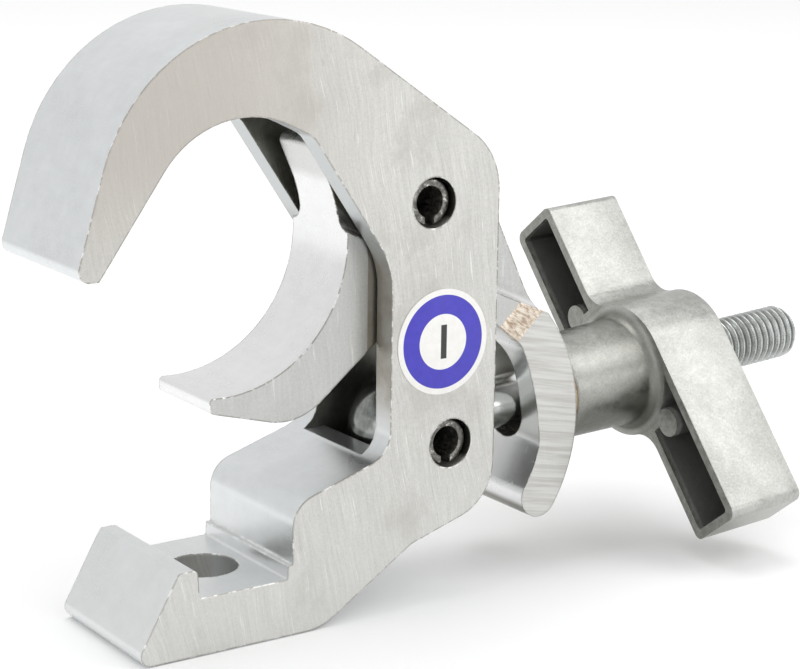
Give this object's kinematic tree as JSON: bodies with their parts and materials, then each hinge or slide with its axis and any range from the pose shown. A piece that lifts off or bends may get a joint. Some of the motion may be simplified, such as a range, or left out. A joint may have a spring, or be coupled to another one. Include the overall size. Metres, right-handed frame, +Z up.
{
  "type": "pipe clamp",
  "caption": "Hook-style quick-trigger tube clamp: hinged saddle jaw drawn shut by a swing bolt with a wing nut, bolted fixing hole in the base.",
  "frame": {"origin": "centre of the fixing hole on the underside of the base", "axes": "+Z up, +X from the open mouth towards the wing nut, +Y along the tube"},
  "size_m": [0.1853, 0.0712, 0.1187],
  "materials": {
    "body_aluminium": "lightly brushed",
    "jaw_aluminium": "sawn and milled",
    "spring_steel": "phosphated spring steel",
    "zinc_steel": "bright zinc plated",
    "washer_brass": "dull",
    "cast_aluminium": "tumbled die casting",
    "label_vinyl": "printed vinyl"
  },
  "bodies": {
    "frame": {"hook_body": "body_aluminium", "jaw_pivot_pin": "spring_steel", "bolt_pivot_pin": "spring_steel", "label": "label_vinyl"},
    "jaw": {"clamp_jaw": "jaw_aluminium"},
    "bolt": {"swing_bolt": "zinc_steel"},
    "washer": {"thrust_washer": "washer_brass"},
    "nut": {"wing_nut": "cast_aluminium"}
  },
  "joints": [
    {"name": "jaw_hinge", "type": "hinge", "parent": "frame", "child": "jaw", "pos_m": [0.0426, 0, 0.0818], "axis": [0, -1, 0], "range_deg": [-12.01, 21.01]},
    {"name": "bolt_hinge", "type": "hinge", "parent": "frame", "child": "bolt", "pos_m": [0.04745, 0, 0.0329], "axis": [0, -1, 0], "range_deg": [-10.21, 17.86]},
    {"name": "nut_travel", "type": "slide", "parent": "bolt", "child": "washer", "axis": [0.9978, 0, 0.0663], "range_m": [-0.01025, 0.01793]},
    {"name": "wing_spin", "type": "hinge", "parent": "washer", "child": "nut", "pos_m": [0.04745, 0, 0.0329], "axis": [0.9978, 0, 0.0663], "range_deg": [-2106, 3686]}
  ],
  "couplings": [
    {"joint": "jaw_hinge", "follows": "wing_spin", "ratio": 0.0056957},
    {"joint": "bolt_hinge", "follows": "wing_spin", "ratio": 0.0048414},
    {"joint": "nut_travel", "follows": "wing_spin", "m_per_rad": 0.00027852}
  ]
}
